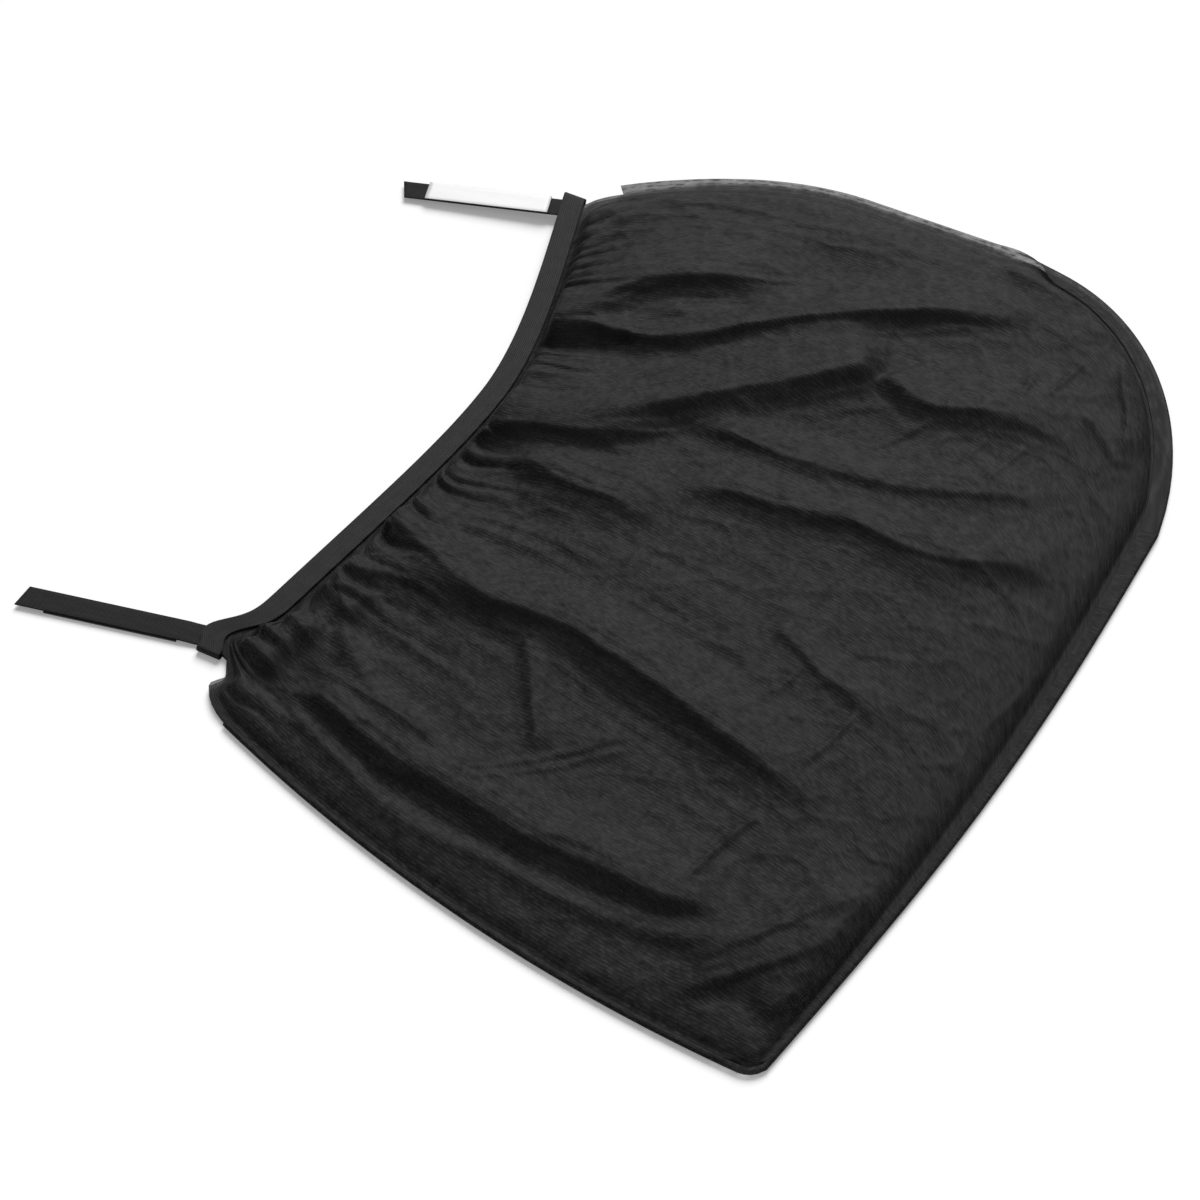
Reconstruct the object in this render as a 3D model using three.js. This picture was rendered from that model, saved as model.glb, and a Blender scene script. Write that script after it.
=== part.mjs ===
// Car side window sunshade of the sock kind: two panels of black knitted mesh sewn together
// on three sides, open along the fourth, where a wide elastic gathers them, with a fastening
// strap at each end of the mouth. It lies flat on its back panel, loose and creased.
// Millimetres. X runs along the mouth, Y from the mouth to the far edge, Z up from the floor.
import * as THREE from 'three';

// Cloth, tape and the clearance that sewn layers keep
const clothThickness = 0.8;
const layerGap = 0.3;

// Outline of the bag, seen from above, measured to its outer edge
const mouthHalfWidth = 287;
const depthLeft = 593;
const depthRight = 527;
const shoulderLeft = 10;
const shoulderRight = 45;
const shoulderLength = 9;
const flareLeft = 103;
const flareLeftDepth = 216;
const flareRight = 101;
const flareRightDepth = 509;
const roundCornerWidth = 281;
const roundCornerDepth = 205;
const sharpCornerRadius = 18;
const farEdgeCrown = 15;

// The bag's right-hand side hangs forward beside the end of the elastic
const shoulderDroop = 17;
const shoulderDroopFrom = 296;
const shoulderDroopTo = 313;
const shoulderDroopReach = 26;

// The mouth bows in towards the bag, deepest a little left of the middle
const mouthBow = 51;
const mouthBowPlace = -51;
const mouthBowPower = 0.9;
const mouthBowRound = 136;
const mouthBowFade = 170;
const cornerPush = 21;
const cornerPushPlace = 267;
const cornerPushWidth = 20;

// The left end of the mouth stands a little off the floor
const cornerLift = 5;
const cornerLiftReach = 90;

// Elastic tape, one closed loop that lies flat, its two runs apart in the middle
const elasticWidth = 20;
const elasticThickness = 1;
const elasticEndRadius = 2.6;
const elasticEndStraight = 5;
const elasticLap = 6;
const lipRise = 4.6;

// The back panel's border: curled up and over at the far edge, plain on the left
const curlRadius = 2.2;
const curlStripWide = 17;
const curlStripNarrow = 3;
const curlStripSide = 2.5;
const curlFade = 1.6;
const curlStartLow = 350;
const curlStartHigh = 420;
const plainBorder = 7;
const plainTurn = 0.12;
const seamStart = 42;
const seamLap = 3;
const seamFlat = 7;
const steepestSlant = 0.2;
const cornerEase = 9;
const cornerEaseFrom = 0.9;
const clearRowGap = 2.3;
const stripTurnFrom = 0.6;
const farSeamFlat = 8;
const backRiseFrom = 2;
const backRiseTo = 26;
const leftSeamReach = 0.3;
const rimRowsFrom = 0.6;

// The front panel stands off the back one, loose, and its folds ride on that
const puff = 12.5;
const puffEdge = 11;
const puffEdgeRight = 30;
const puffRightFrom = 0.7;
const valleyFloor = 7.8;
const valleySoftness = 1.2;
const crestCeiling = 22;
const crestSoftness = 2.5;
const mouthRise = 1;
const mouthRiseAtEnds = 12;
const mouthRiseInMiddle = 24;
const mouthRiseShare = 0.12;

// Gathers at the elastic: even waves whose phase is shaken by two slow sines
const gatherCount = 15;
const gatherHeight = 2.8;
const gatherFrom = 2;
const gatherTo = 22;
const gatherReach = 60;
const gatherShake = 0.6;
const gatherShakeTurns = 5;
const gatherSmallShake = 0.25;
const gatherSmallShakeTurns = 17;

// Section of a fold across its route, in steep-face widths: how far back it climbs, how round
// its crest is, and the dip at its foot
const climb = 3.2;
const crestRound = 0.33;
const dip = 0.18;
const dipReach = 3.4;
const widthAtStart = 0.75;
const widthGain = 0.5;

// Straps of webbing, each with a patch of hook tape and the patch's peel-off backing
const strapWidth = 20;
const strapThickness = 1.2;
const strapLength = 147;
const strapInside = 12;
const patchWidth = 21;
const patchThickness = 1.2;
const patchLength = 108;
const patchFromTip = 21;
const linerThickness = 0.3;
const tipSlant = 5;
const rightStrapInset = 15;
const rightStrapLean = 12;
const rightStrapDropFrom = 2;
const rightStrapDropShort = 2;
const leftStrapInset = 17;
const leftStrapLean = 16;
const leftStrapShort = 8;
const leftStrapTipHeight = 2.4;

// Facets
const columns = 58;
const rows = 40;
const backColumns = 24;
const backRows = 25;
const runSteps = 40;
const endSteps = 6;
const curlSteps = 4;
const rowCrowding = 0.35;

const tapeTop = elasticThickness + layerGap;
const backLapHeight = tapeTop + clothThickness / 2;
const restHeight = clothThickness / 2;
const bagHalfMouth = mouthHalfWidth - 1.5 * elasticThickness - elasticEndRadius;
const lapStart = elasticWidth - elasticLap;

// Folds of the front panel as [x, y] routes that run away from the mouth. A crest climbs
// slowly on the left of its route and falls steeply on its right. A ridge is the same on both
// sides. Each has its height, its width, the lengths over which it comes and goes, its route.
function crest(height, width, comes, goes, route) {
  return { sharp: true, height, width, comes, goes, route };
}

function ridge(height, width, comes, goes, route) {
  return { sharp: false, height, width, comes, goes, route };
}

const folds = [
  crest(10, 13, 20, 90, [[-130, 58], [-188, 101], [-238, 166], [-293, 255]]),
  crest(9, 12, 15, 120, [[-124, 58], [-150, 148], [-215, 231], [-280, 330], [-331, 443]]),
  crest(5, 11, 12, 50, [[-75, 62], [-73, 92], [-88, 153]]),
  crest(11.5, 13, 15, 25, [[-26, 62], [-51, 145], [-113, 223], [-188, 306], [-207, 342]]),
  crest(7, 12, 12, 90, [[-205, 334], [-187, 391], [-211, 471], [-201, 518]]),
  crest(6, 11, 10, 50, [[9, 68], [-19, 113], [-58, 194], [-77, 222]]),
  crest(7, 13, 25, 50, [[27, 112], [19, 175], [16, 217], [34, 255]]),
  crest(3.5, 11, 40, 80, [[-69, 222], [-88, 291], [-98, 394], [-149, 527]]),
  crest(7, 12, 60, 60, [[-18, 233], [-34, 330], [-50, 400], [-46, 463], [-61, 554]]),
  crest(11, 13, 10, 120, [[118, 38], [132, 100], [158, 167], [151, 221], [185, 361], [219, 486]]),
  crest(5, 11, 8, 30, [[193, 36], [212, 78], [220, 110]]),
  crest(5, 12, 10, 50, [[179, 42], [166, 87], [172, 138], [176, 164]]),
  crest(10, 18, 30, 60, [[284, 80], [316, 181], [334, 311], [333, 414], [312, 458]]),
  ridge(3.5, 16, 40, 60, [[300, 70], [356, 181], [364, 345], [354, 430], [336, 478]]),
  crest(4, 12, 40, 30, [[406, 439], [350, 496], [291, 538], [259, 554]]),
  crest(4, 11, 25, 25, [[396, 505], [361, 524], [302, 550]]),
  ridge(3, 14, 20, 20, [[220, 74], [270, 139], [294, 195]]),
  ridge(3, 16, 60, 60, [[307, 43], [366, 149], [408, 300], [406, 385]]),
  ridge(3, 24, 60, 90, [[60, 150], [70, 260], [110, 420]]),
  ridge(3, 24, 60, 90, [[-240, 60], [-300, 150], [-360, 330]]),
];
const foldStations = 18;

const colours = {
  mesh: 0x1c1d20,
  meshBack: 0x191a1d,
  elastic: 0x222326,
  webbing: 0x17181a,
  hook: 0x101113,
  liner: 0xf1f1ee,
};

function clamp01(value) {
  return Math.min(1, Math.max(0, value));
}

function smooth(low, high, value) {
  const t = clamp01((value - low) / (high - low));
  return t * t * (3 - 2 * t);
}

function mix(a, b, t) {
  return a + (b - a) * t;
}

// How far the mouth's outer edge lies from its straight line, at a place along it
function mouthLine(x) {
  const side = x < mouthBowPlace ? mouthHalfWidth + mouthBowPlace : mouthHalfWidth - mouthBowPlace;
  const away = Math.hypot(x - mouthBowPlace, mouthBowRound) - mouthBowRound;
  const share = Math.min(1, away / (Math.hypot(side, mouthBowRound) - mouthBowRound));
  const push = Math.exp(-(((x - cornerPushPlace) / cornerPushWidth) ** 2));
  return mouthBow * (1 - share ** mouthBowPower) - cornerPush * push;
}

function lift(x, y) {
  const away = Math.hypot(x + mouthHalfWidth, y);
  return cornerLift * Math.exp(-((away / cornerLiftReach) ** 2));
}

// Half-widths of the flat part of the bag at a depth from the mouth's straight line. Beyond
// the elastic a side steps out by its shoulder, then flares, then rounds into the far corner.
function sideEdge(depth, side) {
  const past = Math.max(0, depth - elasticWidth - 1);
  const shoulder = side.shoulder * (1 - Math.exp(-past / shoulderLength));
  const flare = side.flare * (1 - (1 - Math.min(1, past / side.flareDepth)) ** 2);
  const t = clamp01((depth - side.depth + side.cornerDepth) / side.cornerDepth);
  return bagHalfMouth + shoulder + flare - side.cornerWidth * (1 - Math.sqrt(1 - t * t));
}

const leftSide = {
  depth: depthLeft,
  shoulder: shoulderLeft,
  flare: flareLeft,
  flareDepth: flareLeftDepth,
  cornerWidth: roundCornerWidth,
  cornerDepth: roundCornerDepth,
};
const rightSide = {
  depth: depthRight,
  shoulder: shoulderRight,
  flare: flareRight,
  flareDepth: flareRightDepth,
  cornerWidth: sharpCornerRadius,
  cornerDepth: sharpCornerRadius,
};

// The share of a side's edge that faces sideways, 1 where the edge runs straight back
function sideways(depth, side) {
  const near = Math.min(depth, side.depth - 1);
  return 1 / Math.hypot(1, sideEdge(near + 0.5, side) - sideEdge(near - 0.5, side));
}

// A point of the bag seen from above: u from the left side to the right, v from the mouth
function plan(u, v) {
  const reach = 1 - curlRadius / depthLeft;
  const depthAtLeft = mix(lapStart, depthLeft, v * reach);
  const depthAtRight = mix(lapStart, depthRight, v * reach);
  const x = mix(-sideEdge(depthAtLeft, leftSide), sideEdge(depthAtRight, rightSide), u);
  const y = mix(depthAtLeft, depthAtRight, u);
  const crown = farEdgeCrown * Math.sin(Math.PI * u) * v * v;
  const bow = mouthLine(x) * Math.exp(-(((y - lapStart) / mouthBowFade) ** 2));
  const past = Math.max(0, y - elasticWidth) / shoulderDroopReach;
  const droop = shoulderDroop * smooth(shoulderDroopFrom, shoulderDroopTo, x) * Math.exp(-past * past);
  return { x, y: y + crown + bow - droop, depthAtLeft, depthAtRight };
}

// How much of a half turn the back panel's border makes, and how wide its curled strip is
function leftTurn(depth) {
  return mix(plainTurn, 1, smooth(curlStartLow, curlStartHigh, depth));
}

function leftStrip(depth) {
  const curled = clamp01((leftTurn(depth) - stripTurnFrom) / (1 - stripTurnFrom));
  return mix(curlStripSide, curlStripWide, curled * curled);
}

function farStrip(u) {
  return mix(curlStripNarrow, curlStripWide, (1 - u) ** curlFade);
}

// Where the front panel starts to rise, and how far it laps on outwards under the border
function leftSeam(depth) {
  return mix(plainBorder, leftStrip(depth), smooth(plainTurn, 1, leftTurn(depth)));
}

function seamUnder(strip) {
  return Math.min(seamLap, strip - layerGap);
}

// A closed body from a cloth's middle surface: points, its quads, and a thickness that is
// laid half on each side along the surface's own normals
function clothBody(points, quads, thickness, upright) {
  const normals = points.map(() => new THREE.Vector3());
  for (const [a, b, c, d] of quads) {
    const across = points[c].clone().sub(points[a]);
    const along = points[d].clone().sub(points[b]);
    const normal = across.cross(along);
    for (const k of [a, b, c, d]) {
      normals[k].add(normal);
    }
  }
  const count = points.length;
  const position = [];
  for (const side of [0.5, -0.5]) {
    points.forEach((point, k) => {
      const normal = upright ? new THREE.Vector3(0, 0, 1) : normals[k].normalize();
      position.push(...point.clone().addScaledVector(normal, side * thickness).toArray());
    });
  }
  const index = [];
  const edges = new Map();
  for (const [a, b, c, d] of quads) {
    index.push(a, b, c, a, c, d);
    index.push(count + a, count + c, count + b, count + a, count + d, count + c);
    for (const [from, to] of [[a, b], [b, c], [c, d], [d, a]]) {
      if (!edges.delete(`${to} ${from}`)) {
        edges.set(`${from} ${to}`, [from, to]);
      }
    }
  }
  for (const [from, to] of edges.values()) {
    index.push(from, count + from, count + to, from, count + to, to);
  }
  const geometry = new THREE.BufferGeometry();
  geometry.setAttribute('position', new THREE.Float32BufferAttribute(position, 3));
  geometry.setIndex(index);
  return geometry;
}

function gridQuads(across, along) {
  const quads = [];
  for (let j = 0; j < along; j += 1) {
    for (let i = 0; i < across; i += 1) {
      const a = j * (across + 1) + i;
      quads.push([a, a + 1, a + across + 2, a + across + 1]);
    }
  }
  return quads;
}

// The first row is at the mouth edge under the elastic, the next just clear of the elastic.
// The others lie closer together near the gathers and near the rounded corners.
function rowPlace(j, count) {
  const clearRow = (elasticLap + clearRowGap) / (depthLeft - lapStart);
  const even = (j - 1) / (count - 1);
  const spaced = mix(even, (1 - Math.cos(Math.PI * even)) / 2, rowCrowding);
  return j === 0 ? 0 : mix(clearRow, 1, spaced);
}

// Back panel: flat on the floor, over the elastic at the mouth, its border curled
function backRise(x, y) {
  const past = y - mouthLine(x) - elasticWidth;
  return mix(backLapHeight, restHeight, smooth(backRiseFrom, backRiseTo, past));
}

function backPanel() {
  const points = [];
  const rim = [];
  for (let j = 0; j <= backRows; j += 1) {
    for (let i = 0; i <= backColumns; i += 1) {
      const place = plan(i / backColumns, rowPlace(j, backRows));
      points.push(new THREE.Vector3(place.x, place.y, backRise(place.x, place.y) + lift(place.x, place.y)));
    }
  }
  const quads = gridQuads(backColumns, backRows);
  const rowLength = backColumns + 1;
  const addRim = (i, j, turn, strip) => {
    const index = j * rowLength + i;
    if (points[index].y > seamStart) {
      rim.push({ index, turn, strip });
    }
  };
  for (let j = 0; j < backRows; j += 1) {
    const depth = plan(0, rowPlace(j, backRows)).depthAtLeft;
    addRim(0, j, leftTurn(depth), leftStrip(depth));
  }
  for (let i = 0; i <= backColumns; i += 1) {
    addRim(i, backRows, 1, farStrip(i / backColumns));
  }
  for (let j = backRows - 1; j >= 0; j -= 1) {
    addRim(backColumns, j, 1, curlStripSide);
  }
  curlBorder(points, quads, rim);
  return clothBody(points, quads, clothThickness, false);
}

// The border runs outwards from the rim, curls round by its turn and goes on for its strip
function curlBorder(points, quads, rim) {
  const arc = Math.PI * curlRadius;
  let before = rim.map((station) => station.index);
  const outward = rim.map((station, k) => {
    const from = points[rim[Math.max(0, k - 1)].index];
    const to = points[rim[Math.min(rim.length - 1, k + 1)].index];
    return new THREE.Vector3(from.y - to.y, to.x - from.x, 0).normalize();
  });
  const reach = rim.map(() => ({ out: 0, up: 0, heading: 0 }));
  for (let step = 1; step <= curlSteps + 1; step += 1) {
    const ring = rim.map((station, k) => {
      const along = step <= curlSteps ? arc / curlSteps : station.strip;
      const bend = step <= curlSteps ? (Math.PI * station.turn) / curlSteps : 0;
      const heading = reach[k].heading + bend / 2;
      reach[k].out += along * Math.cos(heading);
      reach[k].up += along * Math.sin(heading);
      reach[k].heading += bend;
      const point = points[station.index].clone().addScaledVector(outward[k], reach[k].out);
      point.z += reach[k].up;
      points.push(point);
      return points.length - 1;
    });
    for (let k = 0; k + 1 < ring.length; k += 1) {
      quads.push([before[k], before[k + 1], ring[k + 1], ring[k]]);
    }
    before = ring;
  }
}

// Front panel: from under the elastic's upper run, over the loose puff, to the seam
function sampleRoute(route) {
  const curve = new THREE.CatmullRomCurve3(route.map(([x, y]) => new THREE.Vector3(x, y, 0)));
  return curve.getPoints(foldStations);
}

const sampledFolds = folds.map((fold) => ({ ...fold, line: sampleRoute(fold.route) }));

function foldHeight(x, y, fold) {
  let best = { away: Infinity, signed: 0, gone: 0 };
  let length = 0;
  for (let k = 0; k + 1 < fold.line.length; k += 1) {
    const from = fold.line[k];
    const to = fold.line[k + 1];
    const dx = to.x - from.x;
    const dy = to.y - from.y;
    const step = Math.hypot(dx, dy);
    const t = clamp01(((x - from.x) * dx + (y - from.y) * dy) / (step * step));
    const offX = x - from.x - t * dx;
    const offY = y - from.y - t * dy;
    const away = Math.hypot(offX, offY);
    if (away < best.away) {
      const side = offX * dy - offY * dx >= 0 ? 1 : -1;
      best = { away, signed: side * away, gone: length + t * step };
    }
    length += step;
  }
  const fade = smooth(0, fold.comes, best.gone) * smooth(0, fold.goes, length - best.gone);
  const reach = best.signed / (fold.width * (widthAtStart + widthGain * best.gone / length));
  return fold.height * fade * (fold.sharp ? crestSection(reach) : Math.exp(-reach * reach));
}

function crestSection(t) {
  if (t < 0) {
    return Math.exp(-((t / climb) ** 2));
  }
  const fall = Math.exp(crestRound - Math.hypot(t, crestRound));
  return (1 + dip) * fall - dip * Math.exp(-((t / dipReach) ** 2));
}

function gathers(x, past) {
  const grow = smooth(gatherFrom, gatherTo, past) * Math.exp(-past / gatherReach);
  const place = (x + mouthHalfWidth) / (2 * mouthHalfWidth);
  const shake = gatherShake * Math.sin(gatherShakeTurns * place);
  const smallShake = gatherSmallShake * Math.sin(gatherSmallShakeTurns * place);
  return gatherHeight * grow * Math.cos(2 * Math.PI * (gatherCount * place + shake + smallShake));
}

function upperRunHeight(x) {
  const share = Math.min(1, Math.abs(x) / mouthHalfWidth);
  return elasticThickness / 2 + 2 * elasticEndRadius + lipRise * (1 - share ** 4);
}

// The panel's first and last columns and its last row lap under the border, the next ones
// lie at the seam, and the rest are spread between
function frontPlace(i, j) {
  const seamV = 1 - farStrip(0.5) / depthLeft;
  const v = j === rows ? seamV : seamV * rowPlace(j, rows - 1);
  const depthLeftHere = plan(0, v).depthAtLeft;
  const depthRightHere = plan(0, v).depthAtRight;
  const width = sideEdge(depthLeftHere, leftSide) + sideEdge(depthRightHere, rightSide);
  const slantLeft = Math.max(steepestSlant, sideways(depthLeftHere, leftSide));
  const pastElastic = smooth(0, shoulderLength, depthRightHere - elasticWidth);
  const slantFloor = mix(1, steepestSlant, pastElastic);
  const slantRight = Math.max(slantFloor, sideways(depthRightHere, rightSide));
  const seamLeft = leftSeam(depthLeftHere) / slantLeft;
  const seamRight = curlStripSide / slantRight + cornerEase * smooth(cornerEaseFrom, 1, v);
  const underLeft = i === 0 ? seamUnder(seamLeft) / slantLeft : 0;
  const underRight = i === columns ? seamUnder(curlStripSide) / slantRight : 0;
  const spread = clamp01((i - 1) / (columns - 2));
  const fromLeft = mix(seamLeft, width - seamRight, spread) - underLeft + underRight;
  const u = fromLeft / width;
  const strip = farStrip(u);
  const under = j === rows ? seamUnder(strip) : 0;
  const farShare = (1 - (strip - under) / depthLeft) / seamV;
  return { u, v: v * mix(1, farShare, smooth(rimRowsFrom, 1, v / seamV)) };
}

function frontPoint(i, j) {
  const { u, v } = frontPlace(i, j);
  const { x, y, depthAtLeft, depthAtRight } = plan(u, v);
  const fromLeft = (x + sideEdge(depthAtLeft, leftSide)) * sideways(depthAtLeft, leftSide);
  const fromRight = (sideEdge(depthAtRight, rightSide) - x) * sideways(depthAtRight, rightSide);
  const fromFar = (1 - v) * depthLeft;
  const pastLeft = Math.max(0.01, fromLeft - leftSeam(depthAtLeft) - seamFlat);
  const pastRight = Math.max(0.01, fromRight - curlStripSide - seamFlat);
  const pastFar = Math.max(0.01, fromFar - farStrip(u) - farSeamFlat);
  const inside = (pastLeft ** -3 + pastRight ** -3 + pastFar ** -3) ** (-1 / 3);
  const raise = 1 - Math.exp(-inside / mix(puffEdge, puffEdgeRight, smooth(puffRightFrom, 1, u)));

  const leftBorder = smooth(plainTurn, 1, leftTurn(depthAtLeft));
  const flatSeam = backRise(x, y) + clothThickness + layerGap;
  const curledSeam = backRise(x, y) + 2 * curlRadius - clothThickness - layerGap;
  const seam = mix(mix(flatSeam, curledSeam, leftBorder), curledSeam, smooth(0, leftSeamReach, u));

  let body = puff;
  for (const fold of sampledFolds) {
    body += foldHeight(x, y, fold);
  }
  const past = y - mouthLine(x) - elasticWidth;
  body += gathers(x, past);
  const over = (body - valleyFloor) / valleySoftness;
  const above = valleyFloor + valleySoftness * Math.log1p(Math.exp(over));
  const under = (crestCeiling - above) / crestSoftness;
  const limited = crestCeiling - crestSoftness * Math.log1p(Math.exp(under));
  const bagHeight = seam + (limited - seam) * raise;

  const lap = upperRunHeight(x) - elasticThickness / 2 - layerGap - clothThickness / 2;
  const inMiddle = smooth(0, mouthRiseShare, u) * smooth(0, mouthRiseShare, 1 - u);
  const away = mix(mouthRiseAtEnds, mouthRiseInMiddle, inMiddle);
  const height = mix(lap, bagHeight, smooth(mouthRise, away, past));
  return new THREE.Vector3(x, y, height + lift(x, y));
}

function frontPanel() {
  const points = [];
  for (let j = 0; j <= rows; j += 1) {
    for (let i = 0; i <= columns; i += 1) {
      points.push(frontPoint(i, j));
    }
  }
  return clothBody(points, gridQuads(columns, rows), clothThickness, true);
}

// Elastic: one closed belt, its path seen from the mouth and its width laid along Y
function mouthElastic() {
  const stations = [];
  const endX = mouthHalfWidth - elasticThickness / 2 - elasticEndRadius;
  const base = elasticThickness / 2;
  for (let k = 0; k <= runSteps; k += 1) {
    const x = mix(-endX, endX, k / runSteps);
    stations.push([x, base]);
  }
  for (let k = 1; k < endSteps; k += 1) {
    const angle = (Math.PI * k) / endSteps;
    stations.push([
      endX + elasticEndRadius * Math.sin(angle),
      mix(base, upperRunHeight(endX), (1 - Math.cos(angle)) / 2),
    ]);
  }
  for (let k = runSteps; k >= 0; k -= 1) {
    const x = mix(-endX, endX, k / runSteps);
    stations.push([x, upperRunHeight(x)]);
  }
  for (let k = endSteps - 1; k > 0; k -= 1) {
    const angle = (Math.PI * k) / endSteps;
    stations.push([
      -endX - elasticEndRadius * Math.sin(angle),
      mix(base, upperRunHeight(-endX), (1 - Math.cos(angle)) / 2),
    ]);
  }
  const total = stations.length;
  const position = [];
  stations.forEach(([x, z], k) => {
    const [beforeX, beforeZ] = stations[(k + total - 1) % total];
    const [afterX, afterZ] = stations[(k + 1) % total];
    const length = Math.hypot(afterX - beforeX, afterZ - beforeZ);
    const outX = (afterZ - beforeZ) / length;
    const outZ = -(afterX - beforeX) / length;
    const lineX = Math.min(endX - elasticEndStraight, Math.max(-endX, x));
    for (const [side, across] of [[1, 0], [1, 1], [-1, 1], [-1, 0]]) {
      const cornerX = x + side * outX * elasticThickness / 2;
      const y = mouthLine(lineX) + across * elasticWidth;
      position.push(cornerX, y, z + side * outZ * elasticThickness / 2 + lift(x, y));
    }
  });
  const index = [];
  for (let k = 0; k < total; k += 1) {
    const next = (k + 1) % total;
    for (let side = 0; side < 4; side += 1) {
      const a = 4 * k + side;
      const b = 4 * k + (side + 1) % 4;
      const c = 4 * next + (side + 1) % 4;
      const d = 4 * next + side;
      index.push(a, b, c, a, c, d);
    }
  }
  const geometry = new THREE.BufferGeometry();
  geometry.setAttribute('position', new THREE.Float32BufferAttribute(position, 3));
  geometry.setIndex(index);
  return geometry;
}

// A flat tape along a strap's line, from one distance past the mouth to another, with its
// underside at the heights given and its tip cut on a slant
function tape({ place, lean, from, to, width, thickness, slant, underside, steps }) {
  const angle = THREE.MathUtils.degToRad(lean);
  const along = new THREE.Vector3(Math.sin(angle), -Math.cos(angle), 0);
  const across = new THREE.Vector3(Math.cos(angle), Math.sin(angle), 0);
  const root = new THREE.Vector3(place, mouthLine(place), 0);
  const points = [];
  for (let k = 0; k <= steps; k += 1) {
    for (const side of [-0.5, 0.5]) {
      const cut = k === steps ? slant * side : 0;
      const distance = mix(from, to, k / steps) + cut;
      const point = root.clone().addScaledVector(along, distance).addScaledVector(across, side * width);
      point.z = underside(distance) + thickness / 2;
      points.push(point);
    }
  }
  const quads = [];
  for (let k = 0; k < steps; k += 1) {
    quads.push([2 * k, 2 * k + 2, 2 * k + 3, 2 * k + 1]);
  }
  return clothBody(points, quads, thickness, true);
}

const patchEnd = strapLength - patchFromTip;
const patchStart = patchEnd - patchLength;
const leftStrapEnd = strapLength - leftStrapShort;

// Right-hand strap: backing on the floor, patch on it, webbing on top
function rightStrapHeight(distance) {
  const onPatch = linerThickness + patchThickness + 2 * layerGap;
  return mix(tapeTop, onPatch, smooth(rightStrapDropFrom, patchStart - rightStrapDropShort, distance));
}

// Left-hand strap: webbing below, patch and backing on top, sloping down to its tip
function leftStrapHeight(distance) {
  const rootHeight = tapeTop + cornerLift;
  return mix(rootHeight, leftStrapTipHeight, clamp01(distance / leftStrapEnd));
}

const rightTape = { place: mouthHalfWidth - rightStrapInset, lean: rightStrapLean };
const leftTape = { place: leftStrapInset - mouthHalfWidth, lean: leftStrapLean };
const onStrap = { from: patchStart, to: patchEnd, width: patchWidth, slant: 0, steps: 1 };
const onLeftStrap = { ...onStrap, from: patchStart - leftStrapShort, to: patchEnd - leftStrapShort };
const wholeStrap = {
  from: -strapInside,
  to: strapLength,
  width: strapWidth,
  thickness: strapThickness,
  steps: 14,
};

function rightStrap() {
  return tape({ ...rightTape, ...wholeStrap, slant: tipSlant, underside: rightStrapHeight });
}

function rightPatch() {
  const underside = () => linerThickness + layerGap;
  return tape({ ...rightTape, ...onStrap, thickness: patchThickness, underside });
}

function rightLiner() {
  return tape({ ...rightTape, ...onStrap, thickness: linerThickness, underside: () => 0 });
}

function leftStrap() {
  const strap = { ...leftTape, ...wholeStrap, to: leftStrapEnd, slant: -tipSlant };
  return tape({ ...strap, underside: leftStrapHeight });
}

function leftPatch() {
  const underside = (distance) => leftStrapHeight(distance) + strapThickness + layerGap;
  return tape({ ...leftTape, ...onLeftStrap, thickness: patchThickness, underside });
}

function leftLiner() {
  const above = strapThickness + patchThickness + 2 * layerGap;
  const underside = (distance) => leftStrapHeight(distance) + above;
  return tape({ ...leftTape, ...onLeftStrap, thickness: linerThickness, underside });
}

function piece(name, geometry, color, roughness) {
  geometry.computeVertexNormals();
  const material = new THREE.MeshStandardMaterial({ color, roughness, metalness: 0 });
  const mesh = new THREE.Mesh(geometry, material);
  mesh.name = name;
  return mesh;
}

const sunshade = new THREE.Group();
sunshade.add(piece('front_panel', frontPanel(), colours.mesh, 0.75));
sunshade.add(piece('back_panel', backPanel(), colours.meshBack, 0.8));
sunshade.add(piece('mouth_elastic', mouthElastic(), colours.elastic, 0.65));
sunshade.add(piece('strap_right', rightStrap(), colours.webbing, 0.7));
sunshade.add(piece('hook_patch_right', rightPatch(), colours.hook, 0.85));
sunshade.add(piece('patch_liner_right', rightLiner(), colours.liner, 0.4));
sunshade.add(piece('strap_left', leftStrap(), colours.webbing, 0.7));
sunshade.add(piece('hook_patch_left', leftPatch(), colours.hook, 0.85));
sunshade.add(piece('patch_liner_left', leftLiner(), colours.liner, 0.4));

// The origin is the middle of the underside
const extent = new THREE.Box3().setFromObject(sunshade);
const middle = extent.getCenter(new THREE.Vector3());
sunshade.position.set(-middle.x, -middle.y, -extent.min.z);
sunshade.updateMatrixWorld(true);

export default sunshade;
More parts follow.
